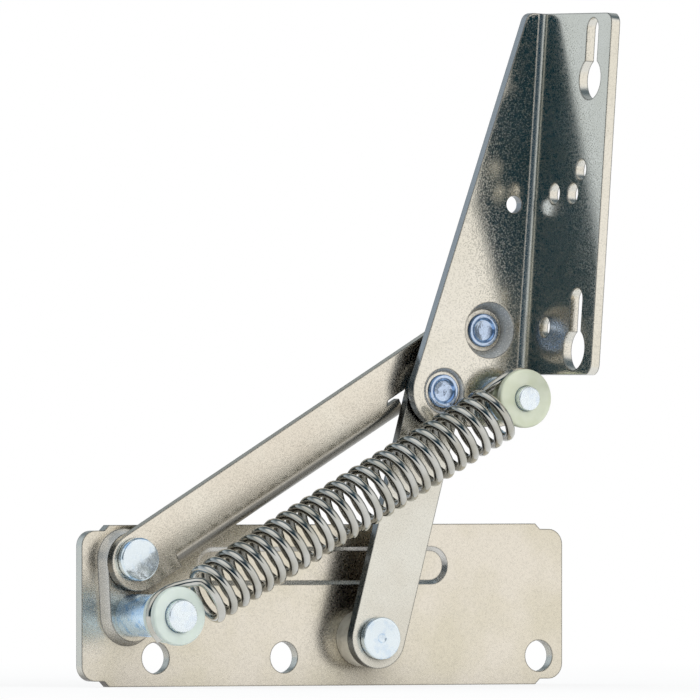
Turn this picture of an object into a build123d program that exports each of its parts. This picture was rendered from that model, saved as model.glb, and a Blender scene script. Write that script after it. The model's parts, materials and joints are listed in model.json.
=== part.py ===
from build123d import *
import math
import os

# A spring-assisted flap stay for a lift-up lid. A stamped base plate is screwed to the side of a
# cabinet, a long and a short arm turn on it, and both carry an angle bracket that is fixed to the
# lid. A tension spring runs from the base plate to the bracket and pulls the lid open.
#
# Frame, in millimetres: +X runs along the base plate, +Z is up, and -Y faces the room. The origin
# is on the mounting face, midway between the two outer screw holes. The lid stands open.
# A depth below is measured from the front face of the base plate toward the room.

# Base plate
plate_length = 120.2
plate_height = 35.0
plate_t = 2.5
plate_corner_r = 3.4
shoulder_length = 5.6
shoulder_drop = 1.2
screw_pitch_short = 32.0
screw_pitch_long = 64.0
screw_hole_d = 6.8
screw_to_left_edge = 18.3
screw_to_bottom_edge = 6.2

# Raised pad under the long arm and the lower spring pin
pad_rise = 3.0
pad_foot_r = 6.6
pad_wall_run = 0.9

# Shallow pressed recess behind the arms
recess_length = 62.7
recess_height = 8.2
recess_depth = 0.8
recess_wall_run = 0.9
recess_left = 28.6
recess_center_up = 26.0

# Pivot places from the bottom left corner of the base plate
long_arm_base_at = (10.5, 27.6)
short_arm_base_at = (69.5, 10.3)
long_arm_lid_at = (95.5, 77.1)
short_arm_lid_at = (84.1, 63.9)
lower_pin_at = (11.2, 15.5)
upper_pin_at = (97.6, 62.3)

# Sheet of the arms and the bracket, and the running gap between layers
arm_t = 2.2
bracket_t = 2.2
layer_gap = 0.2
pivot_clearance = 0.05

# Long arm
long_arm_width = 12.7
long_arm_offset = 0.65
flange_start = 9.0
flange_end = 74.0
flange_bend_r = 4.0
flange_to_plate = 0.5
flange_corner_r = 0.8
neck_start = 70.5
neck_below = 2.0
long_arm_lid_end_r = 5.7

# Short arm
short_arm_width = 13.2
counterbore_r = 3.7
counterbore_depth = 0.85

# Lid bracket, set out from the lower inner corner of its flange
flange_corner_at = (103.7, 68.1)
bracket_tilt = 4.0
flange_length = 78.6
flange_below = 0.6
flange_reach = 31.4
bend_inner_r = 1.5
side_top_width = 4.4
side_corner_r = 2.2
side_lower_r = 7.8
side_pin_r = 6.2
flange_front_corner_r = 2.4
deep_dish_r = 6.1
shallow_dish_r = 5.0
shallow_dish_depth = 0.8
dish_wall_run = 1.5
dish_wall_run_shallow = 0.7
dish_skirt = 1.6
keyhole_round_d = 9.2
keyhole_slot_w = 5.0
keyhole_travel = 10.8
keyhole_low_up = 4.9
keyhole_high_edge = 1.0
keyhole_depth_at = 32.4
small_hole_d = 4.6
small_holes_at = ((20.2, 38.7), (28.0, 38.7), (30.9, 43.9), (19.4, 9.7))
side_hole_d = 3.8
side_hole_at = (-4.6, 36.1)

# Rivets and pins
base_rivet_r = 3.5
base_rivet_foot_r = 3.0
base_rivet_head_r = 4.7
base_rivet_head_h = 1.8
short_rivet_r = 3.0
short_rivet_head_r = 4.6
short_rivet_head_h = 1.5
short_rivet_sink_r = 4.3
spacer_r = 6.2
lid_rivet_r = 2.5
lid_rivet_head_r = 3.6
lid_rivet_head_h = 0.8
lid_rivet_dish_r = 2.6
lid_rivet_dish = 0.35
lid_rivet_tail_r = 4.2
lid_rivet_tail_h = 1.3
foot_tail_r = 4.0
foot_tail_h = 1.5
head_edge_break = 0.4
lower_pin_r = 4.6
lower_pin_nose_r = 3.5
upper_pin_r = 4.7
upper_pin_nose_r = 2.6
pin_foot_r = 2.8
upper_pin_tail_h = 1.0
pin_end_depth = 24.8

# Nylon bushes
bush_flange_r = 6.4
bush_rear_flange_r = 5.9
bush_flange_t = 1.7
groove_clearance = 0.3
hook_clearance = 0.1

# Tension spring
wire_d = 2.0
coil_outer_d = 13.4
coil_turns = 25
spring_depth = 20.2
coil_start = 7.6
coil_end = 93.0
lower_lead = 3.0
upper_lead = 2.2
hook_wrap = 100.0
lead_turn = 26.0

# Worked out from the sizes above
left_edge = -(screw_pitch_short + screw_pitch_long) / 2 - screw_to_left_edge
bottom_edge = -screw_to_bottom_edge
pad_floor = pad_rise - plate_t
long_arm_back = pad_rise + layer_gap
long_arm_front = long_arm_back + arm_t
short_arm_back = long_arm_front + layer_gap
short_arm_front = short_arm_back + arm_t
shallow_floor_back = short_arm_front + layer_gap
side_back = shallow_floor_back + shallow_dish_depth
side_front = side_back + bracket_t
deep_floor_back = long_arm_front + layer_gap
deep_floor_front = deep_floor_back + bracket_t
shallow_floor_front = shallow_floor_back + bracket_t
deep_dish_depth = side_front - deep_floor_front
flange_top = flange_length - flange_below
keyhole_high_up = flange_top - keyhole_high_edge - keyhole_slot_w / 2 - keyhole_travel
bush_back = spring_depth - wire_d / 2 - groove_clearance - bush_flange_t
bush_front = spring_depth + wire_d / 2 + groove_clearance + bush_flange_t
pin_shoulder = bush_back - layer_gap
coil_r = (coil_outer_d - wire_d) / 2
groove_r = coil_r - wire_d / 2 - hook_clearance


def spot(place):
    """Model X and Z of a place given from the bottom left corner of the base plate."""
    return left_edge + place[0], bottom_edge + place[1]


def at_depth(depth):
    return -(plate_t + depth)


def point(place, depth):
    x, z = spot(place)
    return Vector(x, at_depth(depth), z)


def facing(x, z, depth, turn=0.0):
    """A plane whose X runs to the right, whose Y runs up and whose normal faces the room."""
    right = Vector(math.cos(math.radians(turn)), 0, math.sin(math.radians(turn)))
    return Plane(origin=(x, at_depth(depth), z), x_dir=right, z_dir=(0, -1, 0))


def slab(outline, plane, thickness):
    """Extrude an outline, drawn on its own X and Y, toward the room from a plane."""
    return extrude(plane * outline, amount=thickness, dir=(0, -1, 0))


def post(place, radius, back, front):
    """A round bar or hole along the depth."""
    x, z = spot(place)
    return slab(Circle(radius), facing(x, z, back), front - back)


def turned(place, profile):
    """A round piece from (radius, depth) points, closed on its own axis."""
    x, z = spot(place)
    face = make_face(Polyline(*[(r, -d) for r, d in profile], close=True))
    solid = revolve(face, axis=Axis.Y, revolution_arc=360)
    return Pos(x, -plate_t, z) * solid


def direction(start, end):
    return math.degrees(math.atan2(end[1] - start[1], end[0] - start[0]))


def distance(start, end):
    return math.hypot(end[0] - start[0], end[1] - start[1])


def obround(length, width):
    return SlotOverall(length, width) if length > width else Circle(width / 2)


long_arm_angle = direction(long_arm_base_at, long_arm_lid_at)
long_arm_length = distance(long_arm_base_at, long_arm_lid_at)
short_arm_angle = direction(short_arm_base_at, short_arm_lid_at)
short_arm_length = distance(short_arm_base_at, short_arm_lid_at)
spring_angle = direction(lower_pin_at, upper_pin_at)
spring_length = distance(lower_pin_at, upper_pin_at)


# Base plate

def plate_outline():
    """The plate with a rounded corner and a small shoulder at each end of its long edges."""
    half_l = plate_length / 2
    half_h = plate_height / 2
    quarter = [
        (half_l, half_h - shoulder_drop),
        (half_l - shoulder_length, half_h - shoulder_drop),
        (half_l - shoulder_length - shoulder_drop, half_h),
    ]
    top = quarter + [(-x, y) for x, y in reversed(quarter)]
    bottom = [(-x, -y) for x, y in top]
    outline = make_face(Polyline(*top, *bottom, close=True))
    corners = outline.vertices().filter_by(lambda v: abs(abs(v.X) - half_l) < 0.01)
    return fillet(corners, plate_corner_r)


def pad_outline(radius):
    rise = distance(lower_pin_at, long_arm_base_at)
    return obround(rise + 2 * radius, 2 * radius)


def pad_block(foot_r, top_r, back, front):
    """A tapered obround over both pivots of the pad."""
    x0, z0 = spot(lower_pin_at)
    x1, z1 = spot(long_arm_base_at)
    turn = direction(lower_pin_at, long_arm_base_at)
    low = facing((x0 + x1) / 2, (z0 + z1) / 2, back, turn)
    high = facing((x0 + x1) / 2, (z0 + z1) / 2, front, turn)
    return loft([low * pad_outline(foot_r), high * pad_outline(top_r)])


def build_base_plate():
    center_x = left_edge + plate_length / 2
    center_z = bottom_edge + plate_height / 2
    plate = slab(plate_outline(), facing(center_x, center_z, -plate_t), plate_t)
    plate += pad_block(pad_foot_r, pad_foot_r - pad_wall_run, 0, pad_rise)
    hollow_foot_r = pad_foot_r - plate_t + pad_wall_run
    plate -= pad_block(hollow_foot_r, hollow_foot_r - pad_wall_run, -plate_t, pad_floor)

    recess_x = left_edge + recess_left + recess_length / 2
    recess_z = bottom_edge + recess_center_up
    floor = facing(recess_x, recess_z, -recess_depth)
    mouth = facing(recess_x, recess_z, 0)
    floor_outline = obround(recess_length - 2 * recess_wall_run, recess_height - 2 * recess_wall_run)
    plate -= loft([floor * floor_outline, mouth * obround(recess_length, recess_height)])

    for hole_x in screw_hole_places():
        drill = slab(Circle(screw_hole_d / 2), facing(hole_x, 0, -plate_t), plate_t)
        plate -= drill
    plate -= post(long_arm_base_at, base_rivet_foot_r, pad_floor, pad_rise)
    plate -= post(lower_pin_at, pin_foot_r, pad_floor, pad_rise)
    plate -= post(short_arm_base_at, short_rivet_r, -plate_t, 0)
    plate -= turned(short_arm_base_at, sink_profile())
    return plate


def screw_hole_places():
    first = -(screw_pitch_short + screw_pitch_long) / 2
    return first, first + screw_pitch_short, first + screw_pitch_short + screw_pitch_long


def sink_profile():
    """The countersink for the foot of the short arm's rivet, on the mounting face."""
    sink = short_rivet_sink_r - short_rivet_r
    return [
        (0, -plate_t),
        (short_rivet_sink_r, -plate_t),
        (short_rivet_r, sink - plate_t),
        (0, sink - plate_t),
    ]


# Long arm

def along_long_arm(depth):
    x, z = spot(long_arm_base_at)
    return facing(x, z, depth, long_arm_angle)


def build_long_arm():
    half = long_arm_width / 2
    upper = half - long_arm_offset
    lower = -half - long_arm_offset
    bend_line = lower + flange_bend_r
    neck_end = neck_start + (-neck_below - bend_line)
    web = make_face(Polyline(
        (0, upper),
        (0, lower),
        (flange_start, lower),
        (flange_start, bend_line),
        (neck_start, bend_line),
        (neck_end, -neck_below),
        (long_arm_length, -neck_below),
        (long_arm_length, upper),
        close=True,
    ))
    web += Pos(0, -long_arm_offset) * Circle(half)
    web += Pos(long_arm_length, 0) * Circle(long_arm_lid_end_r)
    arm = slab(web, along_long_arm(long_arm_back), arm_t)
    arm += build_arm_flange(lower)
    arm -= post(long_arm_base_at, base_rivet_r + pivot_clearance, long_arm_back, long_arm_front)
    arm -= post(long_arm_lid_at, lid_rivet_r, long_arm_back, long_arm_front)
    return arm


def build_arm_flange(lower):
    """The lower edge of the long arm, bent back toward the base plate."""
    inner_r = flange_bend_r - arm_t
    center = (lower + flange_bend_r, long_arm_front - flange_bend_r)
    outer = CenterArc(center, flange_bend_r, 90, 90)
    inner = CenterArc(center, inner_r, 90, 90)
    section = Wire([
        outer,
        Line((lower, center[1]), (lower, flange_to_plate)),
        Line((lower, flange_to_plate), (lower + arm_t, flange_to_plate)),
        Line((lower + arm_t, flange_to_plate), (lower + arm_t, center[1])),
        inner,
        Line((center[0], long_arm_back), (center[0], long_arm_front)),
    ])
    turn = math.radians(long_arm_angle)
    along = Vector(math.cos(turn), 0, math.sin(turn))
    across = Vector(-math.sin(turn), 0, math.cos(turn))
    x, z = spot(long_arm_base_at)
    origin = Vector(x, -plate_t, z) + along * flange_start
    plane = Plane(origin=origin, x_dir=across, z_dir=across.cross(Vector(0, -1, 0)))
    face = plane * make_face(section)
    flange = extrude(face, amount=flange_end - flange_start, dir=along)
    free_corners = [e for e in flange.edges() if on_free_corner(e)]
    return fillet(free_corners, flange_corner_r)


def on_free_corner(edge):
    """True for the two short edges where the flange's free edge meets its ends."""
    middle = edge.center()
    return abs(middle.Y - at_depth(flange_to_plate)) < 0.01 and abs(edge.length - arm_t) < 0.01


# Short arm

def build_short_arm():
    x0, z0 = spot(short_arm_base_at)
    x1, z1 = spot(short_arm_lid_at)
    strip = obround(short_arm_length + short_arm_width, short_arm_width)
    arm = slab(strip, facing((x0 + x1) / 2, (z0 + z1) / 2, short_arm_back, short_arm_angle), arm_t)
    arm -= post(short_arm_base_at, short_rivet_r + pivot_clearance, short_arm_back, short_arm_front)
    arm -= post(short_arm_lid_at, lid_rivet_r + pivot_clearance, short_arm_back, short_arm_front)
    arm -= post(short_arm_lid_at, counterbore_r, short_arm_back, short_arm_back + counterbore_depth)
    return arm


# Lid bracket

bracket_right = Vector(math.cos(math.radians(bracket_tilt)), 0, -math.sin(math.radians(bracket_tilt)))
bracket_up = Vector(math.sin(math.radians(bracket_tilt)), 0, math.cos(math.radians(bracket_tilt)))


def in_bracket(place):
    """Right and up from the flange corner, for a place given from the base plate's corner."""
    offset = Vector(place[0] - flange_corner_at[0], 0, place[1] - flange_corner_at[1])
    return offset.dot(bracket_right), offset.dot(bracket_up)


def bracket_plane(depth):
    x, z = spot(flange_corner_at)
    return facing(x, z, depth, -bracket_tilt)


def tangent_points(c0, r0, c1, r1, side):
    """Where the outer tangent of two circles touches them, on the side named by the sign."""
    gap = distance(c0, c1)
    base = math.radians(direction(c0, c1))
    lean = math.acos((r0 - r1) / gap)
    angle = base + side * lean
    unit = (math.cos(angle), math.sin(angle))
    return (c0[0] + r0 * unit[0], c0[1] + r0 * unit[1]), (c1[0] + r1 * unit[0], c1[1] + r1 * unit[1])


def build_lid_bracket():
    low = in_bracket(short_arm_lid_at)
    pin = in_bracket(upper_pin_at)
    top_center = (-side_top_width + side_corner_r, flange_top - side_corner_r)
    left_low, left_top = tangent_points(low, side_lower_r, top_center, side_corner_r, 1)
    bottom_low, bottom_pin = tangent_points(low, side_lower_r, pin, side_pin_r, -1)
    side = make_face(Polyline(
        left_low,
        left_top,
        (top_center[0], flange_top),
        (-bend_inner_r, flange_top),
        (-bend_inner_r, -flange_below),
        (-bend_inner_r, pin[1]),
        pin,
        bottom_pin,
        bottom_low,
        close=True,
    ))
    side += Pos(*low) * Circle(side_lower_r)
    side += Pos(*pin) * Circle(side_pin_r)
    side += Pos(*top_center) * Circle(side_corner_r)
    bracket = slab(side, bracket_plane(side_back), bracket_t)
    bracket += build_flange()
    bracket = dish(bracket, long_arm_lid_at, deep_dish_r, dish_wall_run, deep_dish_depth)
    bracket = dish(bracket, short_arm_lid_at, shallow_dish_r, dish_wall_run_shallow, shallow_dish_depth)
    bracket -= post(long_arm_lid_at, lid_rivet_r, deep_floor_back, side_front)
    bracket -= post(short_arm_lid_at, lid_rivet_r, shallow_floor_back, side_front)
    bracket -= post(upper_pin_at, pin_foot_r, side_back, side_front)
    bracket -= slab(Pos(*side_hole_at) * Circle(side_hole_d / 2), bracket_plane(side_back), bracket_t)
    return bracket


def build_flange():
    """The bend and the flange, with its keyholes and small holes."""
    outer_r = bend_inner_r + bracket_t
    center = (-bend_inner_r, side_front + bend_inner_r)
    reach = side_back + flange_reach
    section = Wire([
        CenterArc(center, outer_r, -90, 90),
        Line((bracket_t, center[1]), (bracket_t, reach)),
        Line((bracket_t, reach), (0, reach)),
        Line((0, reach), (0, center[1])),
        CenterArc(center, bend_inner_r, -90, 90),
        Line((center[0], side_front), (center[0], side_back)),
    ])
    x, z = spot(flange_corner_at)
    origin = Vector(x, -plate_t, z) - bracket_up * flange_below
    plane = Plane(origin=origin, x_dir=bracket_right, z_dir=bracket_right.cross(Vector(0, -1, 0)))
    flange = extrude(plane * make_face(section), amount=flange_length, dir=bracket_up)
    corners = [
        e for e in flange.edges()
        if abs(e.length - bracket_t) < 0.01 and abs(e.center().Y - at_depth(reach)) < 0.01
    ]
    flange = fillet(corners, flange_front_corner_r)
    for up in (keyhole_low_up, keyhole_high_up):
        flange -= keyhole(up)
    for depth, up in small_holes_at:
        flange -= flange_cut(Circle(small_hole_d / 2), depth, up)
    return flange


def flange_cut(outline, depth, up):
    """Cut an outline, drawn with X toward the room and Y up, through the flange."""
    x, z = spot(flange_corner_at)
    origin = Vector(x, at_depth(depth), z) + bracket_up * up
    plane = Plane(origin=origin, x_dir=(0, -1, 0), z_dir=Vector(0, -1, 0).cross(bracket_up))
    return extrude(plane * outline, amount=bracket_t * 2, both=True)


def keyhole(up):
    outline = Circle(keyhole_round_d / 2)
    outline += Pos(0, keyhole_travel / 2) * Rectangle(keyhole_slot_w, keyhole_travel)
    outline += Pos(0, keyhole_travel) * Circle(keyhole_slot_w / 2)
    return flange_cut(outline, keyhole_depth_at, up)


def dish(bracket, place, mouth_r, wall_run, drop):
    """Press a round dish into the side plate, floor toward the arms."""
    foot_r = mouth_r - wall_run
    bracket += turned(place, [
        (0, side_back - drop),
        (foot_r + dish_skirt, side_back - drop),
        (mouth_r + dish_skirt, side_back),
        (mouth_r + dish_skirt, side_front),
        (0, side_front),
    ])
    bracket -= turned(place, [
        (0, side_front - drop),
        (foot_r, side_front - drop),
        (mouth_r, side_front),
        (0, side_front),
    ])
    return bracket


# Rivets, spacer and pins

def build_long_arm_base_rivet():
    head_back = long_arm_front + layer_gap
    head_front = head_back + base_rivet_head_h
    return turned(long_arm_base_at, [
        (0, pad_floor - foot_tail_h),
        (foot_tail_r, pad_floor - foot_tail_h),
        (foot_tail_r, pad_floor),
        (base_rivet_foot_r, pad_floor),
        (base_rivet_foot_r, pad_rise),
        (base_rivet_r, pad_rise),
        (base_rivet_r, head_back),
        (base_rivet_head_r, head_back),
        (base_rivet_head_r, head_front - head_edge_break),
        (base_rivet_head_r - head_edge_break, head_front),
        (0, head_front),
    ])


def build_short_arm_base_rivet():
    head_back = short_arm_front + layer_gap
    head_front = head_back + short_rivet_head_h
    sink = short_rivet_sink_r - short_rivet_r
    return turned(short_arm_base_at, [
        (0, -plate_t),
        (short_rivet_sink_r, -plate_t),
        (short_rivet_r, sink - plate_t),
        (short_rivet_r, head_back),
        (short_rivet_head_r, head_back),
        (short_rivet_head_r, head_front - head_edge_break),
        (short_rivet_head_r - head_edge_break, head_front),
        (0, head_front),
    ])


def build_short_arm_spacer():
    ring = post(short_arm_base_at, spacer_r, 0, long_arm_front)
    return ring - post(short_arm_base_at, short_rivet_r, 0, long_arm_front)


def rivet_crown(front):
    """The rim and the hollow of a lid rivet's head, outermost point first."""
    return [
        (lid_rivet_head_r, front - head_edge_break),
        (lid_rivet_head_r - head_edge_break, front),
        (lid_rivet_dish_r, front),
        (lid_rivet_dish_r - lid_rivet_dish, front - lid_rivet_dish),
        (0, front - lid_rivet_dish),
    ]


def build_short_arm_lid_rivet():
    tail_back = short_arm_back + pivot_clearance
    tail_front = short_arm_back + counterbore_depth - pivot_clearance
    return turned(short_arm_lid_at, [
        (0, tail_back),
        (counterbore_r - layer_gap, tail_back),
        (counterbore_r - layer_gap, tail_front),
        (lid_rivet_r, tail_front),
        (lid_rivet_r, shallow_floor_front),
        (lid_rivet_head_r, shallow_floor_front),
        *rivet_crown(shallow_floor_front + lid_rivet_head_h),
    ])


def build_long_arm_lid_rivet():
    return turned(long_arm_lid_at, [
        (0, deep_floor_back),
        (lid_rivet_r, deep_floor_back),
        (lid_rivet_r, deep_floor_front),
        (lid_rivet_head_r, deep_floor_front),
        *rivet_crown(deep_floor_front + lid_rivet_head_h),
    ])


def build_long_arm_lid_rivet_tail():
    return turned(long_arm_lid_at, [
        (0, long_arm_back - lid_rivet_tail_h),
        (lid_rivet_tail_r - head_edge_break, long_arm_back - lid_rivet_tail_h),
        (lid_rivet_tail_r, long_arm_back - lid_rivet_tail_h + head_edge_break),
        (lid_rivet_tail_r, long_arm_back),
        (lid_rivet_r, long_arm_back),
        (lid_rivet_r, long_arm_front),
        (0, long_arm_front),
    ])


def build_lower_spring_pin():
    return turned(lower_pin_at, [
        (0, pad_floor - foot_tail_h),
        (foot_tail_r, pad_floor - foot_tail_h),
        (foot_tail_r, pad_floor),
        (pin_foot_r, pad_floor),
        (pin_foot_r, pad_rise),
        (lower_pin_r, pad_rise),
        (lower_pin_r, pin_shoulder),
        (lower_pin_nose_r, pin_shoulder),
        (lower_pin_nose_r, pin_end_depth - head_edge_break),
        (lower_pin_nose_r - head_edge_break, pin_end_depth),
        (0, pin_end_depth),
    ])


def build_upper_spring_pin():
    return turned(upper_pin_at, [
        (0, side_back - upper_pin_tail_h),
        (foot_tail_r, side_back - upper_pin_tail_h),
        (foot_tail_r, side_back),
        (pin_foot_r, side_back),
        (pin_foot_r, side_front),
        (upper_pin_r, side_front),
        (upper_pin_r, pin_shoulder),
        (upper_pin_nose_r, pin_shoulder),
        (upper_pin_nose_r, pin_end_depth - head_edge_break),
        (upper_pin_nose_r - head_edge_break, pin_end_depth),
        (0, pin_end_depth),
    ])


def build_bush(place, nose_r):
    """A nylon spool that turns on a pin and holds a spring hook in its groove."""
    bore_r = nose_r + pivot_clearance
    groove_back = bush_back + bush_flange_t
    groove_front = bush_front - bush_flange_t
    return turned(place, [
        (bore_r, bush_back),
        (bush_rear_flange_r, bush_back),
        (bush_rear_flange_r, groove_back),
        (groove_r, groove_back),
        (groove_r, groove_front),
        (bush_flange_r, groove_front),
        (bush_flange_r, bush_front - head_edge_break),
        (bush_flange_r - head_edge_break, bush_front),
        (bore_r, bush_front),
    ])


# Tension spring: its own axes are u along the spring, v across it and upward, w toward the room

def spring_frame():
    turn = math.radians(spring_angle)
    along = Vector(math.cos(turn), 0, math.sin(turn))
    across = Vector(-math.sin(turn), 0, math.cos(turn))
    return point(lower_pin_at, spring_depth), along, across, Vector(0, -1, 0)


def in_spring(u, v, w):
    origin, along, across, out = spring_frame()
    return origin + along * u + across * v + out * w


def spring_way(u, v, w):
    origin, along, across, out = spring_frame()
    return (along * u + across * v + out * w).normalized()


def coil_pitch():
    return (coil_end - coil_start) / coil_turns


def coil_point(turn):
    """A point of the coil's centre line and its direction, turn in degrees from the top."""
    angle = math.radians(turn)
    climb = coil_pitch() / (2 * math.pi)
    place = in_spring(coil_start + climb * angle, coil_r * math.cos(angle), coil_r * math.sin(angle))
    way = spring_way(climb, -coil_r * math.sin(angle), coil_r * math.cos(angle))
    return place, way


def biarc(p0, t0, p1, t1):
    """Two arcs from p0 along t0 to p1 along t1, smooth where they meet."""
    chord = p1 - p0
    both = t0 + t1
    a = both.dot(both) - 4
    b = -2 * chord.dot(both)
    c = chord.dot(chord)
    reach = (-b - math.sqrt(b * b - 4 * a * c)) / (2 * a)
    q0 = p0 + t0 * reach
    q1 = p1 - t1 * reach
    middle = (q0 + q1) * 0.5
    first = Edge.make_tangent_arc(p0, t0, middle)
    second = Edge.make_tangent_arc(middle, (q1 - q0).normalized(), p1)
    return [first, second]


def around_bush(center_u, side, turn):
    """A point of a hook's curl, turn in degrees from the top, side -1 below and 1 above."""
    angle = math.radians(turn)
    return in_spring(center_u + side * coil_r * math.sin(angle), coil_r * math.cos(angle), 0)


def hook_edges(center_u, side):
    """The curl of a hook over its bush and the short straight end after it."""
    top = around_bush(center_u, side, 0)
    middle = around_bush(center_u, side, hook_wrap / 2)
    end = around_bush(center_u, side, hook_wrap)
    wrap = math.radians(hook_wrap)
    tip = end + spring_way(side * math.cos(wrap), -math.sin(wrap), 0) * wire_d
    if side < 0:
        return [Line(tip, end), ThreePointArc(end, middle, top)]
    return [ThreePointArc(top, middle, end), Line(end, tip)]


def tube(edges):
    """The wire swept along the edges, and its centre line."""
    path = Wire(edges)
    section = Plane(origin=path @ 0, z_dir=path % 0) * Circle(wire_d / 2)
    return sweep(section, path=path), path


def build_spring_coil():
    """The lower hook and the whole coil as one unbroken tube."""
    lead_from = in_spring(lower_lead, coil_r, 0)
    edges = hook_edges(0, -1)
    edges.append(Line(in_spring(0, coil_r, 0), lead_from))
    edges += biarc(lead_from, spring_way(1, 0, 0), *coil_point(lead_turn))
    last_turn = coil_turns * 360 - lead_turn
    steps = coil_turns * 2
    marks = [lead_turn + (last_turn - lead_turn) * i / steps for i in range(steps + 1)]
    for low, high in zip(marks, marks[1:]):
        edges += biarc(*coil_point(low), *coil_point(high))
    return tube(edges)


def build_spring_upper_hook():
    """The upper hook, which meets the coil face to face."""
    end, way = coil_point(coil_turns * 360 - lead_turn)
    lead_to = in_spring(spring_length - upper_lead, coil_r, 0)
    edges = biarc(end, way, lead_to, spring_way(1, 0, 0))
    edges.append(Line(lead_to, in_spring(spring_length, coil_r, 0)))
    edges += hook_edges(spring_length, 1)
    return tube(edges)


def least_self_gap(path, samples=4000):
    """The least clear distance between stretches of a tube that aren't neighbours."""
    length = path.length
    points = [path @ (i / samples) for i in range(samples + 1)]
    step = length / samples
    skip = int(math.pi * wire_d / step) + 1
    least = length
    for i, here in enumerate(points):
        reach = min(len(points), i + skip + int(3 * math.pi * coil_outer_d / step))
        for there in points[i + skip:reach]:
            gap = (there - here).length
            if gap < least:
                least = gap
    return least - wire_d


coil, coil_path = build_spring_coil()
upper_hook, hook_path = build_spring_upper_hook()
for name, solid, path in (("coil", coil, coil_path), ("upper hook", upper_hook, hook_path)):
    share = solid.volume / (math.pi * (wire_d / 2) ** 2 * path.length)
    print(name, "length", round(path.length, 1), "volume by section times length", round(share, 4))
print("coil pitch", round(coil_pitch(), 3), "least gap to itself", round(least_self_gap(coil_path), 3))

pieces = {
    "base_plate": build_base_plate(),
    "long_arm": build_long_arm(),
    "short_arm": build_short_arm(),
    "lid_bracket": build_lid_bracket(),
    "long_arm_base_rivet": build_long_arm_base_rivet(),
    "short_arm_base_rivet": build_short_arm_base_rivet(),
    "short_arm_spacer": build_short_arm_spacer(),
    "short_arm_lid_rivet": build_short_arm_lid_rivet(),
    "long_arm_lid_rivet": build_long_arm_lid_rivet(),
    "long_arm_lid_rivet_tail": build_long_arm_lid_rivet_tail(),
    "lower_spring_pin": build_lower_spring_pin(),
    "upper_spring_pin": build_upper_spring_pin(),
    "lower_spring_bush": build_bush(lower_pin_at, lower_pin_nose_r),
    "upper_spring_bush": build_bush(upper_pin_at, upper_pin_nose_r),
    "spring_coil": coil,
    "spring_upper_hook": upper_hook,
}

os.makedirs("parts", exist_ok=True)
for name, piece in pieces.items():
    export_step(piece, f"parts/{name}.step")
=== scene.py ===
import json
import math

import bmesh
import bpy
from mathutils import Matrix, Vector


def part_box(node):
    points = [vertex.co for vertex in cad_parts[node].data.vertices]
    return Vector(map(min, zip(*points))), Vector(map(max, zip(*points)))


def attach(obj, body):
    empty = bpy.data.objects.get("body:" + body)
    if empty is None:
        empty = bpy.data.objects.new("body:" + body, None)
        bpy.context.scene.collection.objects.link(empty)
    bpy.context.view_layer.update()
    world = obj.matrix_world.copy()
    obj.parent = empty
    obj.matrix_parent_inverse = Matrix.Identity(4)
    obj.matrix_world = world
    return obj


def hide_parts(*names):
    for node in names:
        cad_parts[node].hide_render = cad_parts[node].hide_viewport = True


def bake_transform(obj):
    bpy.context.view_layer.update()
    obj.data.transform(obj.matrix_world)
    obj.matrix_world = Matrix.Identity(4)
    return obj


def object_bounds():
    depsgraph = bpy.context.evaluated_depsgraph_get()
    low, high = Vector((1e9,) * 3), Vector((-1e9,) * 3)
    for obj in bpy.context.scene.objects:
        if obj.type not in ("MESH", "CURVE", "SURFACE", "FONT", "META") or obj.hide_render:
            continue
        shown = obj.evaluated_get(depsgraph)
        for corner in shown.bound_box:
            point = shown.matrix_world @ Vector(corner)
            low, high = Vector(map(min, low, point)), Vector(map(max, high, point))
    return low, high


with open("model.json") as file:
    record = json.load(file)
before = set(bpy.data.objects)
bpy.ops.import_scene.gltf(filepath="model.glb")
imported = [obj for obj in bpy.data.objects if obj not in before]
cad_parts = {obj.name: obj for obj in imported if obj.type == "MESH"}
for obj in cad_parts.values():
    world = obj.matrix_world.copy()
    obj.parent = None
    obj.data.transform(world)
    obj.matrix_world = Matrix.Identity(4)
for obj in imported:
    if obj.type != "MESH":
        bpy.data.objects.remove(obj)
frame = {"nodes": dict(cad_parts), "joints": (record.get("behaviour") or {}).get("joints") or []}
cad_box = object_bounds()

MM = 0.001

# The spring, in millimetres and degrees, as the wire is wound
WIRE_D = 2.0
COIL_OUTER_D = 13.4
COIL_MEAN_R = (COIL_OUTER_D - WIRE_D) / 2
COIL_TURNS = 25
COIL_START = 7.6
COIL_END = 93.0
LOWER_LEAD = 3.0
UPPER_LEAD = 2.2
HOOK_WRAP = 100.0
HOOK_STEPS = 16
LEAD_TURN = 26.0
POINTS_PER_TURN = 28

# Layers, in millimetres from the mounting face toward the room
PLATE_FRONT = 2.5
PAD_INSIDE = 3.0
PAD_FRONT = 5.5
LONG_ARM_BACK = 5.7
LONG_ARM_FRONT = 7.9
SHORT_ARM_BACK = 8.1
SHORT_ARM_FRONT = 10.3
SIDE_BACK = 11.3
SIDE_FRONT = 13.5
DEEP_DISH_BACK = 8.1
DEEP_DISH_FRONT = 10.3
SHALLOW_DISH_FRONT = 12.7
BUSH_BACK = 19.7
BUSH_FRONT = 25.7
PIN_END = 27.3

# Rivets, pins and bushes, in millimetres
FOOT_R = 4.0
PAD_FOOT_HEIGHT = 1.5
SIDE_FOOT_HEIGHT = 1.0
BASE_SHANK_R = 3.0
LID_SHANK_R = 2.5
PIN_NECK_R = 2.8
LOWER_NOSE_R = 3.5
UPPER_NOSE_R = 2.6
PLAY = 0.2

# The bracket's flange leans, and its side is bowed: heights in millimetres, turns in degrees
BRACKET_TILT = 4.0
BOW_FOOT_HEIGHT = 76.0
BOW_FOOT_TURN = 9.0
BOW_TOP_HEIGHT = 98.0
BOW_TOP_TURN = 2.0

# Tones of wear and dirt, and of painted shade
SPECKLE_GREY = "#868786"
PIT_GREY = "#6e6a60"
# Painted shade: the thin dark line along every edge of the sheets
PAINTED_EDGE_SHADE_GREY = "#3f4345"
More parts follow.
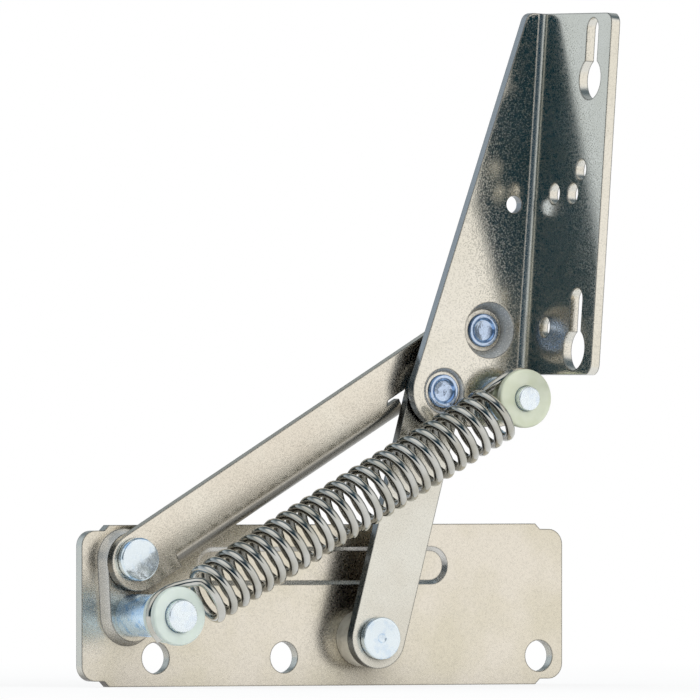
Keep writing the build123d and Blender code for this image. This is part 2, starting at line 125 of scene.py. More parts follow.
# Painted shade: the dark brown that the sheet steel turns to in narrow gaps and under the arms
PAINTED_SHADE_BROWN = "#332c25"
# Painted shade: the dark brown between and inside the spring's turns
PAINTED_COIL_SHADE_BROWN = "#2f2b24"

# The photograph's view: a long lens from the left of the base plate, level with the arms
CAMERA_AZIMUTH = -30.0
CAMERA_AIM = Vector((-8.14, -17.5, 66.61)) * MM
CAMERA_DISTANCE = 6.0
CAMERA_SENSOR = 36.0
CAMERA_REACH = 20.0
VIEW_HEIGHT = 151.5 * MM

# The floor, in metres: how far it reaches, and where it fades into the white backdrop
FLOOR_HALF = 0.6
FLOOR_FADE_START = 0.12
FLOOR_FADE_END = 0.45
FLOOR_GLOW = 0.8
FLOOR_TONE = "#f6f6f6"

# The two fill lamps
FILL_DISTANCE = 1.2
FILL_SIZE = 0.9

# The light tent's openings and flags: azimuth, elevation, full and faded half angle, tone
TENT_PARTS = (
    (36, 2, 30, 54, "#ffffff"),  # front right opening
    (125, 20, 28, 50, "#a9b0b4"),  # rear right opening
    (-106, 0, 14, 36, "#dfe6ea"),  # left opening
    (-150, 2, 16, 50, "#d5e0ea"),  # opening behind the left
    (-75, 52, 22, 42, "#ffffff"),  # overhead left opening
    (-34, 0, 13, 40, "#103649"),  # dark flag around the lens
)
TENT_RADIUS = 8.0
TENT_TONE = "#5c6b74"
TENT_LOW_TONE = "#35434a"


# Places and directions, read from the frame

def joint_place(name):
    for joint in frame["joints"]:
        if joint["name"] == name:
            return Vector(joint["pos_m"])
    raise ValueError("no joint named " + name)


def middle(node):
    low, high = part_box(node)
    return (low + high) / 2


def across_pivots(start, end):
    """The direction square to a bar between two pivots, in the plane of the sheets."""
    along = (end - start).normalized()
    return Vector((-along.z, 0, along.x))


LONG_ARM_BASE = joint_place("long_arm_hinge")
SHORT_ARM_BASE = joint_place("short_arm_hinge")
SHORT_ARM_LID = joint_place("lid_bracket_hinge")
LONG_ARM_LID = middle("long_arm_lid_rivet")
LOWER_PIN = joint_place("spring_swing")
UPPER_PIN = joint_place("upper_bush_turn")

OUT = Vector((0, -1, 0))
FLANGE_LEAN = math.radians(BRACKET_TILT)
FLANGE_FACE = Vector((math.cos(FLANGE_LEAN), 0, -math.sin(FLANGE_LEAN)))
ARM_BEND_FACE = across_pivots(LONG_ARM_BASE, LONG_ARM_LID)


# Colours and shader nodes

def srgb(text):
    """A hex colour as written on screen, turned to the linear values of the shaders."""
    values = [int(text[i:i + 2], 16) / 255 for i in (1, 3, 5)]
    linear = [v / 12.92 if v <= 0.04045 else ((v + 0.055) / 1.055) ** 2.4 for v in values]
    return (*linear, 1.0)


def cleared(owner):
    """The empty node tree of a material or a world."""
    owner.use_nodes = True
    owner.node_tree.nodes.clear()
    return owner.node_tree


def add_node(tree, kind, inputs=None, **settings):
    """Add a node with its settings; an input is a value, or a socket that is linked to it."""
    made = tree.nodes.new(kind)
    for name, value in settings.items():
        setattr(made, name, value)
    for name, value in (inputs or {}).items():
        if isinstance(value, bpy.types.NodeSocket):
            tree.links.new(value, made.inputs[name])
        else:
            made.inputs[name].default_value = value
    return made


def new_material(name):
    material = bpy.data.materials.new(name)
    tree = cleared(material)
    shader = add_node(tree, "ShaderNodeBsdfPrincipled")
    add_node(tree, "ShaderNodeOutputMaterial", {"Surface": shader.outputs["BSDF"]})
    coordinates = add_node(tree, "ShaderNodeTexCoord")
    return material, tree, shader, coordinates


def noise(tree, place, size, detail, roughness):
    """A noise whose grains are about so many millimetres wide."""
    return add_node(tree, "ShaderNodeTexNoise", {
        "Vector": place, "Scale": 1 / (size * MM), "Detail": detail, "Roughness": roughness,
    }).outputs["Fac"]


def mixed(tree, factor, first, second):
    """A colour between two colours or sockets."""
    return add_node(
        tree, "ShaderNodeMix", {0: factor, 6: first, 7: second}, data_type="RGBA",
    ).outputs[2]


def spread(tree, value, low, high, to_low, to_high, **settings):
    """A value stretched from one range to another and kept inside it."""
    return add_node(tree, "ShaderNodeMapRange", {
        "Value": value, "From Min": low, "From Max": high, "To Min": to_low, "To Max": to_high,
    }, **settings).outputs["Result"]


def math_node(tree, operation, *values):
    return add_node(
        tree, "ShaderNodeMath", dict(enumerate(values)), operation=operation,
    ).outputs[0]


def vector_node(tree, operation, output, *values):
    return add_node(
        tree, "ShaderNodeVectorMath", dict(enumerate(values)), operation=operation,
    ).outputs[output]


def part_of(tree, vector, axis):
    return add_node(tree, "ShaderNodeSeparateXYZ", {0: vector}).outputs[axis]


def relief(tree, height, depth, **inputs):
    """A shading normal for a fine relief, so many millimetres deep."""
    return add_node(tree, "ShaderNodeBump", {
        "Strength": 1.0, "Distance": depth * MM, "Height": height, **inputs,
    }).outputs["Normal"]


def leaning(tree, coordinates, direction):
    """How far a surface faces along a line of the piece itself, either way: 1 is square on."""
    facing = vector_node(tree, "DOT_PRODUCT", "Value", coordinates.outputs["Normal"], direction)
    return math_node(tree, "ABSOLUTE", facing)


def bowed(tree, place, normal):
    """The bracket's side as the press leaves it: its skin turned a little away from the
    flange, most at the foot and less toward the top."""
    turn = spread(
        tree, part_of(tree, place, "Z"), BOW_FOOT_HEIGHT * MM, BOW_TOP_HEIGHT * MM,
        math.tan(math.radians(BOW_FOOT_TURN)), math.tan(math.radians(BOW_TOP_TURN)),
    )
    side_way = add_node(tree, "ShaderNodeVectorTransform", {
        0: (-1, 0, 0),
    }, vector_type="VECTOR", convert_from="OBJECT", convert_to="WORLD").outputs[0]
    lean = add_node(tree, "ShaderNodeVectorMath", {
        0: side_way, "Scale": turn,
    }, operation="SCALE").outputs[0]
    return vector_node(tree, "ADD", "Vector", normal, lean)


# Materials

def zinc_sheet(
    name, tone, cloud, bent_tone_and_shade, sheared, grain_size, speckle, rough, faces,
    pressed=(0.0, 0.0), bow=False,
):
    """Cold rolled steel, zinc plated and passivated: a pale warm metal with a fine even grain
    from the rolls, soft clouds of tone, small pits, edges that a press has rounded over, and
    a darker, cooler break where the sheet was sheared. It is rougher and duller where the
    press drew it out or where it was cut. A painted shade draws a thin dark line along each
    edge and turns the colour dark brown in the narrow gaps. The faces are the directions
    that the flat sides of the sheet look in; what is bent out of them has the bent tone,
    which on the long arm is a dark painted shade. Between the pressed depths, in millimetres
    from the mounting face, the walls that a tool pressed in or out are matt, and up to the
    second all that is square to the front is a sheared edge."""
    material, tree, shader, coordinates = new_material(name)
    place = coordinates.outputs["Object"]
    wall_foot, wall_top = pressed

    clouds = noise(tree, place, 16, 3.0, 0.55)
    grain = noise(tree, place, grain_size, 2.0, 0.7)
    pits = noise(tree, place, 0.8, 1.0, 0.5)
    pit_mask = spread(tree, pits, 0.72, 0.80, 0.0, 0.6)
    cloud_mask = spread(tree, clouds, 0.40, 0.66, 0.0, 1.0)
    grain_mask = spread(tree, grain, 0.32, 0.54, 0.0, 1.0)
    ground = mixed(tree, cloud_mask, srgb(tone), srgb(cloud))
    worn = mixed(tree, speckle, ground, srgb(SPECKLE_GREY))
    grained = mixed(tree, grain_mask, worn, ground)
    pitted = mixed(tree, math_node(tree, "MULTIPLY", pit_mask, 0.4), grained, srgb(PIT_GREY))

    flatness = leaning(tree, coordinates, faces[0])
    for direction in faces[1:]:
        flatness = math_node(tree, "MAXIMUM", flatness, leaning(tree, coordinates, direction))
    bent_mask = spread(tree, flatness, 0.90, 0.99, 1.0, 0.0)
    depth = part_of(tree, place, "Y")
    below_top = spread(tree, depth, -wall_top * MM, -(wall_top - 0.2) * MM, 0.0, 1.0)
    above_foot = spread(tree, depth, -(wall_foot + 0.1) * MM, -wall_foot * MM, 1.0, 0.0)
    square = spread(tree, leaning(tree, coordinates, OUT), 0.12, 0.22, 1.0, 0.0)
    sheared_wall = math_node(tree, "MULTIPLY", square, below_top)
    sheared_edge = spread(tree, flatness, 0.12, 0.22, 1.0, 0.0)
    break_mask = math_node(tree, "MAXIMUM", sheared_edge, sheared_wall)

    # Painted shade: a thin dark grey line along every convex and concave edge, where the bevel's
    # normal turns away from the surface's own
    edge = add_node(tree, "ShaderNodeBevel", {"Radius": 0.42 * MM}, samples=6).outputs["Normal"]
    even = add_node(tree, "ShaderNodeNewGeometry").outputs["Normal"]
    agreed = vector_node(tree, "DOT_PRODUCT", "Value", edge, even)
    painted_edge_shade_mask = spread(tree, agreed, 0.95, 0.998, 0.8, 0.0)
    # Painted shade: the colour turns dark brown where ambient occlusion finds near neighbours, in
    # gaps, under the arms and around the rivets
    open_air = add_node(
        tree, "ShaderNodeAmbientOcclusion", {"Distance": 20 * MM}, samples=6,
    ).outputs["AO"]
    unshaded_mask = spread(tree, open_air, 0.14, 0.42, 0.0, 1.0)

    bent = mixed(tree, bent_mask, pitted, srgb(bent_tone_and_shade))
    cut = mixed(tree, break_mask, bent, srgb(sheared))
    lined = mixed(tree, painted_edge_shade_mask, cut, srgb(PAINTED_EDGE_SHADE_GREY))
    colour = mixed(tree, unshaded_mask, srgb(PAINTED_SHADE_BROWN), lined)
    tree.links.new(colour, shader.inputs["Base Color"])

    smooth = spread(tree, grain, 0.42, 0.54, rough[1], rough[0])
    bent_rough = math_node(tree, "MULTIPLY", bent_mask, 0.24)
    roughness = math_node(tree, "MAXIMUM", smooth, bent_rough)
    tree.links.new(roughness, shader.inputs["Roughness"])

    bent_wall = math_node(tree, "MULTIPLY", bent_mask, below_top)
    matt = math_node(tree, "MULTIPLY", bent_wall, above_foot)
    tree.links.new(spread(tree, matt, 0.0, 1.0, 1.0, 0.45), shader.inputs["Metallic"])

    skin = bowed(tree, place, edge) if bow else edge
    pitting = math_node(tree, "SUBTRACT", grain, pit_mask)
    tree.links.new(relief(tree, pitting, 0.015, Normal=skin), shader.inputs["Normal"])
    return material


def bright_zinc(name, tone, shade, face_tone, rough, ripple, in_side=False):
    """Turned or headed steel with bright blue passivated zinc: a cool, nearly mirror-like metal
    under a thin bluish film, with a faint mottle, a soft ripple from the tool, so many
    millimetres deep, and a paler face; on the dished rivets the darker sides and slopes
    against that face are a painted shade. A painted highlight makes the end paler where it
    stands out of a bush. A rivet in the bracket's side leans with its bow."""
    material, tree, shader, coordinates = new_material(name)
    place = coordinates.outputs["Object"]
    mottle = noise(tree, place, 2.2, 3.0, 0.6)
    fine = noise(tree, place, 0.45, 2.0, 0.6)
    mask = spread(tree, mottle, 0.50, 0.66, 0.0, 1.0)
    side = mixed(tree, mask, srgb(tone), srgb(shade))
    # On the dished rivets the darker tone of the sides and slopes, against the pale face, is a
    # painted shade
    face_mask = spread(tree, leaning(tree, coordinates, OUT), 0.9, 0.98, 0.0, 0.75)
    depth = part_of(tree, place, "Y")
    # Painted highlight: the end of a pin that stands out of a bush is paler
    painted_pale_end_mask = spread(tree, depth, -BUSH_FRONT * MM, -(BUSH_FRONT - 0.3) * MM, 0.75, 0.0)
    pale_mask = math_node(tree, "MAXIMUM", face_mask, painted_pale_end_mask)
    colour = mixed(tree, pale_mask, side, srgb(face_tone))
    tree.links.new(colour, shader.inputs["Base Color"])
    roughness = spread(tree, fine, 0.3, 0.7, rough - 0.03, rough + 0.07)
    tree.links.new(roughness, shader.inputs["Roughness"])
    shader.inputs["Metallic"].default_value = 0.78
    if in_side:
        even = add_node(tree, "ShaderNodeNewGeometry").outputs["Normal"]
        swell = relief(tree, mottle, ripple, Normal=bowed(tree, place, even))
    else:
        swell = relief(tree, mottle, ripple)
    tree.links.new(relief(tree, fine, 0.008, Normal=swell), shader.inputs["Normal"])
    return material


def spring_wire(name, tone, tint):
    """Hard drawn spring steel wire, oiled and bright: a smooth, strongly reflecting surface
    with faint brown tints left by the oil and slight draw marks. A painted shade turns it dark
    brown between the turns and inside them."""
    material, tree, shader, coordinates = new_material(name)
    place = coordinates.outputs["Object"]
    tint_mask = spread(tree, noise(tree, place, 6.0, 2.0, 0.5), 0.4, 0.65, 0.0, 1.0)
    bright = mixed(tree, tint_mask, srgb(tone), srgb(tint))
    # Painted shade: the wire darkens to brown where the turns hide each other, between and inside
    # them
    open_air = add_node(
        tree, "ShaderNodeAmbientOcclusion", {"Distance": 6 * MM}, samples=8, only_local=True,
    ).outputs["AO"]
    unshaded_mask = spread(tree, open_air, 0.40, 0.95, 0.0, 1.0)
    colour = mixed(tree, unshaded_mask, srgb(PAINTED_COIL_SHADE_BROWN), bright)
    tree.links.new(colour, shader.inputs["Base Color"])
    roughness = spread(tree, noise(tree, place, 0.4, 2.0, 0.6), 0.3, 0.7, 0.05, 0.12)
    tree.links.new(roughness, shader.inputs["Roughness"])
    shader.inputs["Metallic"].default_value = 1.0
    return material


def nylon(name, tone, shade):
    """Natural polyamide, injection moulded: a milky off-white plastic that lets a little light
    in, with a faint satin skin."""
    material, tree, shader, coordinates = new_material(name)
    place = coordinates.outputs["Object"]
    milk_mask = spread(tree, noise(tree, place, 4.0, 2.0, 0.5), 0.35, 0.65, 0.0, 1.0)
    colour = mixed(tree, milk_mask, srgb(tone), srgb(shade))
    tree.links.new(colour, shader.inputs["Base Color"])
    shader.inputs["Roughness"].default_value = 0.38
    shader.inputs["IOR"].default_value = 1.53
    shader.inputs["Subsurface Weight"].default_value = 0.25
    shader.inputs["Subsurface Radius"].default_value = (1.0, 1.0, 0.8)
    shader.inputs["Subsurface Scale"].default_value = 1.5 * MM
    skin = relief(tree, noise(tree, place, 0.5, 2.0, 0.5), 0.01, Strength=0.6)
    tree.links.new(skin, shader.inputs["Normal"])
    return material


PLATE_STEEL = zinc_sheet(
    "zinc_plated_plate_steel", tone="#e8e0d1", cloud="#dfd7c3", bent_tone_and_shade="#d6d5d1",
    sheared="#d2d1c8", grain_size=0.38, speckle=0.14, rough=(0.22, 0.30), faces=[OUT],
    pressed=(PLATE_FRONT, PAD_FRONT),
)
# The long arm's dark grey bent tone on its bent lower lip is a painted shade
LONG_ARM_STEEL = zinc_sheet(
    "zinc_plated_long_arm_steel", tone="#f1eadb", cloud="#e8dfcf", bent_tone_and_shade="#807e78",
    sheared="#767b7d", grain_size=0.38, speckle=0.14, rough=(0.22, 0.32),
    faces=[OUT, ARM_BEND_FACE],
)
SHORT_ARM_STEEL = zinc_sheet(
    "zinc_plated_short_arm_steel", tone="#e4e1d6", cloud="#dcd7ca", bent_tone_and_shade="#a9a79f",
    sheared="#767b7d", grain_size=0.38, speckle=0.14, rough=(0.22, 0.32), faces=[OUT],
)
BRACKET_STEEL = zinc_sheet(
    "zinc_plated_bracket_steel", tone="#ece6d9", cloud="#e5dfd0", bent_tone_and_shade="#e2e0d8",
    sheared="#989da0", grain_size=0.34, speckle=0.16, rough=(0.05, 0.28),
    faces=[OUT, FLANGE_FACE], pressed=(0.0, SIDE_FRONT), bow=True,
)
HEAD_ZINC = bright_zinc(
    "bright_zinc_rivet", tone="#e0ebf0", shade="#9cc0e4", face_tone="#e6eef2", rough=0.12,
    ripple=0.030,
)
# The darker blue of its sides and slopes is a painted shade
DISH_HEAD_ZINC = bright_zinc(
    "blue_zinc_rivet", tone="#86a8d4", shade="#6388c0", face_tone="#d6e2f4", rough=0.10,
    ripple=0.06, in_side=True,
)
PIN_ZINC = bright_zinc(
    "blue_zinc_pin", tone="#cde6fb", shade="#92c2f2", face_tone="#f4f6f4", rough=0.24,
    ripple=0.010,
)
SPACER_ZINC = bright_zinc(
    "dull_zinc_spacer", tone="#ece9e0", shade="#d8d4c9", face_tone="#ece9e0", rough=0.48,
    ripple=0.006,
)
WIRE_STEEL = spring_wire("drawn_spring_wire", tone="#cbcbc6", tint="#b8b6ac")
LOWER_NYLON = nylon("natural_nylon", tone="#d2dbd3", shade="#c8d2ca")
UPPER_NYLON = nylon("aged_nylon", tone="#ced2bf", shade="#c3c8b0")


# New pieces

def placed(name, data):
    """A new object in the scene."""
    thing = bpy.data.objects.new(name, data)
    bpy.context.scene.collection.objects.link(thing)
    return thing


def placed_mesh(shape, name, material):
    mesh = bpy.data.meshes.new(name)
    shape.to_mesh(mesh)
    shape.free()
    mesh.materials.append(material)
    return placed(name, mesh)


def finish_mesh(shape, name, material, body, stands_for, sharp_angle=35.0):
    """Turn a bmesh into a piece of the object that rides on a body."""
    bmesh.ops.remove_doubles(shape, verts=shape.verts, dist=0.0005 * MM)
    bmesh.ops.recalc_face_normals(shape, faces=shape.faces)
    for face in shape.faces:
        face.smooth = True
    for edge in shape.edges:
        edge.smooth = edge.calc_face_angle(0.0) < math.radians(sharp_angle)
    piece = placed_mesh(shape, name, material)
    if body:
        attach(piece, body)
    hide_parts(*stands_for)
    return piece


def pressed_sheet(node, name, material, body):
    """The sheet of a CAD node with its triangles merged, so that bends shade smoothly and flat
    faces stay flat."""
    shape = bmesh.new()
    shape.from_mesh(frame["nodes"][node].data)
    piece = finish_mesh(shape, name, material, body, [node], sharp_angle=28.0)
    even = piece.modifiers.new("even_shading", "WEIGHTED_NORMAL")
    even.keep_sharp = True
    even.weight = 100


def spun(centre, profile, rounding=(), steps=96):
    """A round shape about a line along Y. The profile is (radius, toward the room) in
    millimetres from the mounting face; a rounding is (index of a profile point, radius)."""
    shape = bmesh.new()
    points = [shape.verts.new((centre.x + r * MM, -d * MM, centre.z)) for r, d in profile]
    chain = points + points[:1] if profile[0][0] > 0 else points
    for pair in zip(chain, chain[1:]):
        shape.edges.new(pair)
    for index, radius in rounding:
        bmesh.ops.bevel(
            shape, geom=[points[index]], offset=radius * MM, segments=5, profile=0.5,
            affect="VERTICES", material=-1,
        )
    bmesh.ops.spin(
        shape, geom=shape.verts[:] + shape.edges[:], cent=(centre.x, 0, centre.z),
        axis=(0, 1, 0), dvec=(0, 0, 0), angle=math.tau, steps=steps, use_merge=True,
        use_duplicate=False,
    )
    return shape


# Base plate, arms and bracket

pressed_sheet("base_plate", "base_plate_sheet", PLATE_STEEL, "base")
pressed_sheet("long_arm", "long_arm_sheet", LONG_ARM_STEEL, "long_arm")
pressed_sheet("short_arm", "short_arm_sheet", SHORT_ARM_STEEL, "short_arm")
pressed_sheet("lid_bracket", "lid_bracket_sheet", BRACKET_STEEL, "lid_bracket")


# Rivets and spacer

def foot(sheet_back, height):
    """The profile of a round foot behind a sheet, from the middle outward."""
    return [(0, sheet_back - height), (FOOT_R, sheet_back - height), (FOOT_R, sheet_back)]


def build_long_arm_base_rivet():
    """A rivet with a low, slightly domed head on the arm and a flat foot behind the pad."""
    shoulder_r = 3.5
    head_r = 4.7
    under = LONG_ARM_FRONT + PLAY
    rim = LONG_ARM_FRONT + 1.8
    profile = [
        *foot(PAD_INSIDE, PAD_FOOT_HEIGHT), (BASE_SHANK_R, PAD_INSIDE), (BASE_SHANK_R, PAD_FRONT),
        (shoulder_r, PAD_FRONT), (shoulder_r, under), (head_r, under), (head_r, rim),
        (3.4, rim + 0.14), (1.6, rim + 0.19), (0, rim + 0.2),
    ]
    finish_mesh(
        spun(LONG_ARM_BASE, profile, [(1, 0.3), (8, 0.45), (7, 0.15)]),
        "long_arm_base_rivet_head", HEAD_ZINC, "base", ["long_arm_base_rivet"],
    )


def build_short_arm_base_rivet():
    """A rivet with a countersunk foot; its head has a low rim, faint rings from the tool and a
    small dimple in the middle."""
    foot_r = 4.3
    head_r = 4.6
    under = SHORT_ARM_FRONT + PLAY
    front = SHORT_ARM_FRONT + 1.7
    rings = [
        (4.0, front), (3.6, front - 0.07), (2.9, front - 0.07), (2.7, front - 0.11),
        (2.0, front - 0.09), (1.8, front - 0.13),
    ]
    dimple = [(1.15, front - 0.12), (0.65, front - 0.34), (0, front - 0.36)]
    profile = [
        (0, 0), (foot_r, 0), (BASE_SHANK_R, foot_r - BASE_SHANK_R), (BASE_SHANK_R, under),
        (head_r, under), (head_r, front), *rings, *dimple,
    ]
    finish_mesh(
        spun(SHORT_ARM_BASE, profile, [(5, 0.3), (6, 0.1), (12, 0.15)]),
        "short_arm_base_rivet_head", HEAD_ZINC, "base",
        ["short_arm_base_rivet"], sharp_angle=50.0,
    )


def build_short_arm_spacer():
    spacer_r = 6.2
    profile = [
        (BASE_SHANK_R, PLATE_FRONT), (spacer_r, PLATE_FRONT), (spacer_r, LONG_ARM_FRONT),
        (BASE_SHANK_R, LONG_ARM_FRONT),
    ]
    finish_mesh(
        spun(SHORT_ARM_BASE, profile, [(1, 0.25), (2, 0.25)]), "short_arm_spacer_ring",
        SPACER_ZINC, "base", ["short_arm_spacer"],
    )


def build_dished_rivet(centre, stem, seat, name, node):
    """A rivet in a dish of the bracket: its stem, and on the seat a head with a round rim and a
    smooth hollow."""
    front = seat + 0.8
    head = [
        (3.6, seat), (3.6, front), (2.75, front), (2.35, front - 0.42), (1.3, front - 0.6),
        (0, front - 0.62),
    ]
    rim = len(stem) + 1
    rounding = [(rim, 0.3), (rim + 1, 0.18), (rim + 2, 0.25), (rim + 3, 0.4)]
    finish_mesh(
        spun(centre, stem + head, rounding), name, DISH_HEAD_ZINC, "lid_bracket",
        [node], sharp_angle=50.0,
    )


def build_short_arm_lid_rivet():
    tail_r = 3.5
    tail_back = SHORT_ARM_BACK + 0.05
    tail_front = SHORT_ARM_BACK + 0.8
    stem = [
        (0, tail_back), (tail_r, tail_back), (tail_r, tail_front), (LID_SHANK_R, tail_front),
        (LID_SHANK_R, SHALLOW_DISH_FRONT),
    ]
    build_dished_rivet(
        SHORT_ARM_LID, stem, SHALLOW_DISH_FRONT, "short_arm_lid_rivet_head",
        "short_arm_lid_rivet",
    )


def build_long_arm_lid_rivet():
    stem = [(0, DEEP_DISH_BACK), (LID_SHANK_R, DEEP_DISH_BACK), (LID_SHANK_R, DEEP_DISH_FRONT)]
    build_dished_rivet(
        LONG_ARM_LID, stem, DEEP_DISH_FRONT, "long_arm_lid_rivet_head", "long_arm_lid_rivet",
    )


def build_long_arm_lid_rivet_tail():
    tail_r = 4.2
    tail_back = LONG_ARM_BACK - 1.3
    profile = [
        (0, tail_back), (tail_r, tail_back), (tail_r, LONG_ARM_BACK),
        (LID_SHANK_R, LONG_ARM_BACK), (LID_SHANK_R, LONG_ARM_FRONT), (0, LONG_ARM_FRONT),
    ]
    finish_mesh(
        spun(LONG_ARM_LID, profile, [(1, 0.4)]), "long_arm_lid_rivet_button", HEAD_ZINC,
        "long_arm", ["long_arm_lid_rivet_tail"],
    )


# Spring pins and bushes

def build_pin(
    centre, sheet_back, sheet_front, foot_height, side_r, nose_r, nose_round, name, body, node,
):
    """A stepped pin: a foot behind its sheet, a thick side, and a thinner nose for the bush."""
    step = BUSH_BACK - PLAY
    profile = [
        *foot(sheet_back, foot_height), (PIN_NECK_R, sheet_back), (PIN_NECK_R, sheet_front),
        (side_r, sheet_front), (side_r, step), (nose_r, step), (nose_r, PIN_END - 0.04),
        (0, PIN_END),
    ]
    finish_mesh(
        spun(centre, profile, [(1, 0.3), (6, 0.3), (8, nose_round)]), name, PIN_ZINC,
        body, [node],
    )


def build_bush(centre, pin_r, name, material, body, node):
    """A moulded spool with rounded flanges, a groove for the hook and an eased bore."""
    bore_r = pin_r + 0.05
    back_flange_r = 5.9
    front_flange_r = 6.4
    flange = 1.7
    groove_r = COIL_MEAN_R - WIRE_D / 2 - 0.1
    profile = [
        (bore_r, BUSH_BACK), (back_flange_r, BUSH_BACK), (back_flange_r, BUSH_BACK + flange),
        (groove_r, BUSH_BACK + flange), (groove_r, BUSH_FRONT - flange),
        (front_flange_r, BUSH_FRONT - flange), (front_flange_r, BUSH_FRONT),
        (pin_r + 0.3, BUSH_FRONT), (bore_r, BUSH_FRONT - 0.35),
    ]
    finish_mesh(
        spun(centre, profile, [(1, 0.35), (2, 0.25), (5, 0.25), (6, 0.5)]), name, material,
        body, [node],
    )


# Tension spring, one wire with a hook at each end

def spring_line():
    """Points along the middle of the wire, from the lower hook's end to the upper one's."""
    span = UPPER_PIN - LOWER_PIN
    along = span.normalized()
    across = across_pivots(LOWER_PIN, UPPER_PIN)
    length = span.length / MM
    middle_depth = Vector((0, -(BUSH_BACK + BUSH_FRONT) / 2 * MM, 0))
    origin = Vector((LOWER_PIN.x, 0, LOWER_PIN.z)) + middle_depth

    def at(u, v, w):
        return origin + (along * u + across * v + OUT * w) * MM

    def hook(center_u, side):
        wrap = math.radians(HOOK_WRAP)
        curl = []
        for i in range(HOOK_STEPS + 1):
            turn = wrap * i / HOOK_STEPS
            u = center_u + side * COIL_MEAN_R * math.sin(turn)
            curl.append(at(u, COIL_MEAN_R * math.cos(turn), 0))
        end_way = along * side * math.cos(wrap) - across * math.sin(wrap)
        return curl + [curl[-1] + end_way * WIRE_D * MM]

    pitch = (COIL_END - COIL_START) / COIL_TURNS
    line = hook(0, -1)[::-1]
    line.append(at(LOWER_LEAD, COIL_MEAN_R, 0))
    for i in range(COIL_TURNS * POINTS_PER_TURN + 1):
        turn = math.tau * i / POINTS_PER_TURN
        from_end = min(turn, math.tau * COIL_TURNS - turn)
        if from_end > math.radians(LEAD_TURN):
            u = COIL_START + pitch * turn / math.tau
            line.append(at(u, COIL_MEAN_R * math.cos(turn), COIL_MEAN_R * math.sin(turn)))
    line.append(at(length - UPPER_LEAD, COIL_MEAN_R, 0))
    return line + hook(length, 1)


def build_spring():
    line = spring_line()
    curve = bpy.data.curves.new("tension_spring_line", "CURVE")
    curve.dimensions = "3D"
    curve.bevel_depth = WIRE_D / 2 * MM
    curve.bevel_resolution = 6
    curve.use_fill_caps = True
    curve.twist_mode = "MINIMUM"
    strand = curve.splines.new("NURBS")
    strand.points.add(len(line) - 1)
    for point, place in zip(strand.points, line):
        point.co = (*place, 1.0)
    strand.order_u = 4
    strand.use_endpoint_u = True
    strand.resolution_u = 2
    holder = placed("tension_spring_line", curve)
    depsgraph = bpy.context.evaluated_depsgraph_get()
    mesh = bpy.data.meshes.new_from_object(holder.evaluated_get(depsgraph))
    bpy.data.objects.remove(holder)
    shape = bmesh.new()
    shape.from_mesh(mesh)
    bpy.data.meshes.remove(mesh)
    piece = finish_mesh(
        shape, "tension_spring", WIRE_STEEL, None,
        ["spring_coil", "spring_upper_hook"],
    )
    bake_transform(piece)


build_long_arm_base_rivet()
build_short_arm_base_rivet()
build_short_arm_spacer()
build_short_arm_lid_rivet()
build_long_arm_lid_rivet()
build_long_arm_lid_rivet_tail()
build_pin(
    LOWER_PIN, PAD_INSIDE, PAD_FRONT, PAD_FOOT_HEIGHT, side_r=4.6, nose_r=LOWER_NOSE_R,
    nose_round=0.35, name="lower_spring_pin_turned", body="base", node="lower_spring_pin",
)
build_pin(
    UPPER_PIN, SIDE_BACK, SIDE_FRONT, SIDE_FOOT_HEIGHT, side_r=4.7, nose_r=UPPER_NOSE_R,
    nose_round=0.3, name="upper_spring_pin_turned", body="lid_bracket", node="upper_spring_pin",
)
build_bush(
    LOWER_PIN, LOWER_NOSE_R, "lower_spring_spool", LOWER_NYLON, "spring", "lower_spring_bush",
)
build_bush(
    UPPER_PIN, UPPER_NOSE_R, "upper_spring_spool", UPPER_NYLON, "upper_bush",
    "upper_spring_bush",
)
build_spring()


# Floor, light and camera

def toward(azimuth, elevation):
    """The direction from the object to a viewer at that azimuth and elevation."""
    a = math.radians(azimuth)
    e = math.radians(elevation)
    return Vector((math.sin(a) * math.cos(e), -math.cos(a) * math.cos(e), math.sin(e)))


def aim(thing, azimuth, elevation, distance):
    """Put a lamp or the camera that far from the middle of the view, and turn it there."""
    way = toward(azimuth, elevation)
    thing.location = CAMERA_AIM + way * distance
    thing.rotation_mode = "QUATERNION"
    thing.rotation_quaternion = (-way).to_track_quat("-Z", "Y")


def build_floor():
    """A pale floor that keeps the shadow and fades into the white backdrop around it; the
    metal shows the same pale floor as the camera sees."""
    shape = bmesh.new()
    bmesh.ops.create_grid(shape, x_segments=1, y_segments=1, size=FLOOR_HALF)
    bmesh.ops.translate(shape, verts=shape.verts, vec=(0, 0, cad_box[0].z - 0.02 * MM))
    material = bpy.data.materials.new("pale_floor")
    tree = cleared(material)
    matt = add_node(tree, "ShaderNodeBsdfDiffuse", {"Color": srgb(FLOOR_TONE)})
    glow = add_node(tree, "ShaderNodeEmission", {"Color": srgb("#ffffff"), "Strength": 1.0})
    place = add_node(tree, "ShaderNodeTexCoord").outputs["Object"]
    away = vector_node(tree, "LENGTH", "Value", place)
    share = spread(tree, away, FLOOR_FADE_START, FLOOR_FADE_END, FLOOR_GLOW, 1.0)
    rays = add_node(tree, "ShaderNodeLightPath").outputs
    mirrored = math_node(tree, "MAXIMUM", rays["Is Glossy Ray"], rays["Is Transmission Ray"])
    seen = math_node(tree, "MAXIMUM", rays["Is Camera Ray"], mirrored)
    mix = add_node(tree, "ShaderNodeMixShader", {
        0: math_node(tree, "MULTIPLY", seen, share), 1: matt.outputs[0], 2: glow.outputs[0],
    })
    add_node(tree, "ShaderNodeOutputMaterial", {"Surface": mix.outputs[0]})
    placed_mesh(shape, "floor", material)


def build_world():
    """White light from all around, which is also the white background."""
    world = bpy.data.worlds.new("white_studio")
    bpy.context.scene.world = world
    tree = cleared(world)
    white = add_node(tree, "ShaderNodeBackground", {"Color": srgb("#ffffff"), "Strength": 1.0})
    add_node(tree, "ShaderNodeOutputWorld", {"Surface": white.outputs[0]})


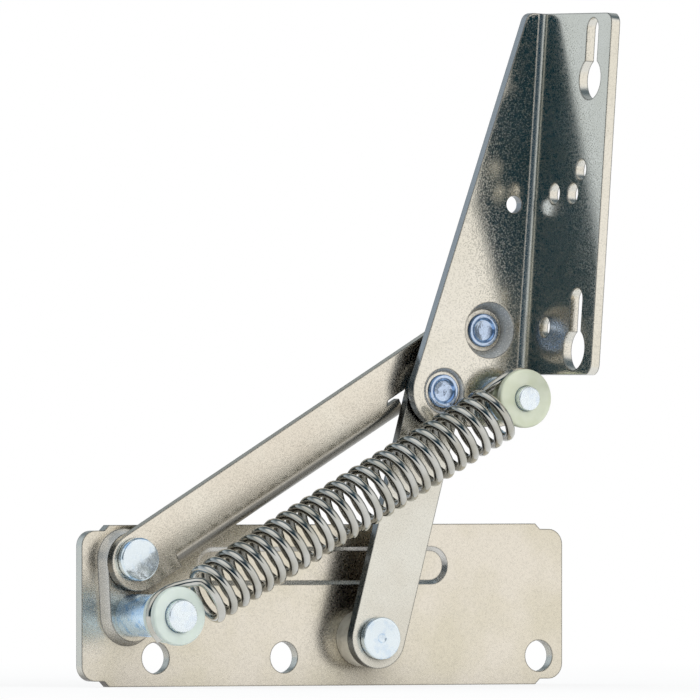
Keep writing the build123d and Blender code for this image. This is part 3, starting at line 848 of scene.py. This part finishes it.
def build_tent():
    """A tent of grey cloth that lets the white studio in through soft openings, with a dark
    flag around the lens. The camera doesn't see it; the metal does."""
    shape = bmesh.new()
    bmesh.ops.create_icosphere(shape, subdivisions=4, radius=TENT_RADIUS)
    material = bpy.data.materials.new("tent_cloth")
    tree = cleared(material)
    place = add_node(tree, "ShaderNodeTexCoord").outputs["Object"]
    way = vector_node(tree, "NORMALIZE", "Vector", place)
    low_share = spread(tree, part_of(tree, way, "Z"), -0.5, 0.1, 0.0, 1.0)
    cloth = mixed(tree, low_share, srgb(TENT_LOW_TONE), srgb(TENT_TONE))
    for azimuth, elevation, full, faded, tone in TENT_PARTS:
        facing = vector_node(tree, "DOT_PRODUCT", "Value", way, toward(azimuth, elevation))
        mask = spread(
            tree, facing, math.cos(math.radians(faded)), math.cos(math.radians(full)), 0.0, 1.0,
            interpolation_type="SMOOTHSTEP",
        )
        cloth = mixed(tree, mask, cloth, srgb(tone))
    veil = add_node(tree, "ShaderNodeBsdfTransparent", {"Color": cloth})
    add_node(tree, "ShaderNodeOutputMaterial", {"Surface": veil.outputs[0]})
    tent = placed_mesh(shape, "light_tent", material)
    tent.visible_camera = False


def build_fill_lamp(name, azimuth, elevation, power):
    """A large soft lamp for the matt surfaces only, so that it leaves no spot on the metal."""
    data = bpy.data.lights.new(name, "AREA")
    data.shape = "DISK"
    data.size = FILL_SIZE
    data.energy = power
    lamp = placed(name, data)
    aim(lamp, azimuth, elevation, FILL_DISTANCE)
    lamp.visible_glossy = False


def build_camera():
    data = bpy.data.cameras.new("camera")
    data.sensor_width = CAMERA_SENSOR
    data.lens = CAMERA_SENSOR * CAMERA_DISTANCE / VIEW_HEIGHT
    data.clip_end = CAMERA_REACH
    camera = placed("camera", data)
    aim(camera, CAMERA_AZIMUTH, 0, CAMERA_DISTANCE)
    bpy.context.scene.camera = camera


build_floor()
build_world()
build_tent()
build_fill_lamp("front_fill_lamp", 10, 25, power=9.0)
build_fill_lamp("back_fill_lamp", -170, 35, power=6.0)
build_camera()
bpy.context.scene.view_settings.view_transform = "Standard"
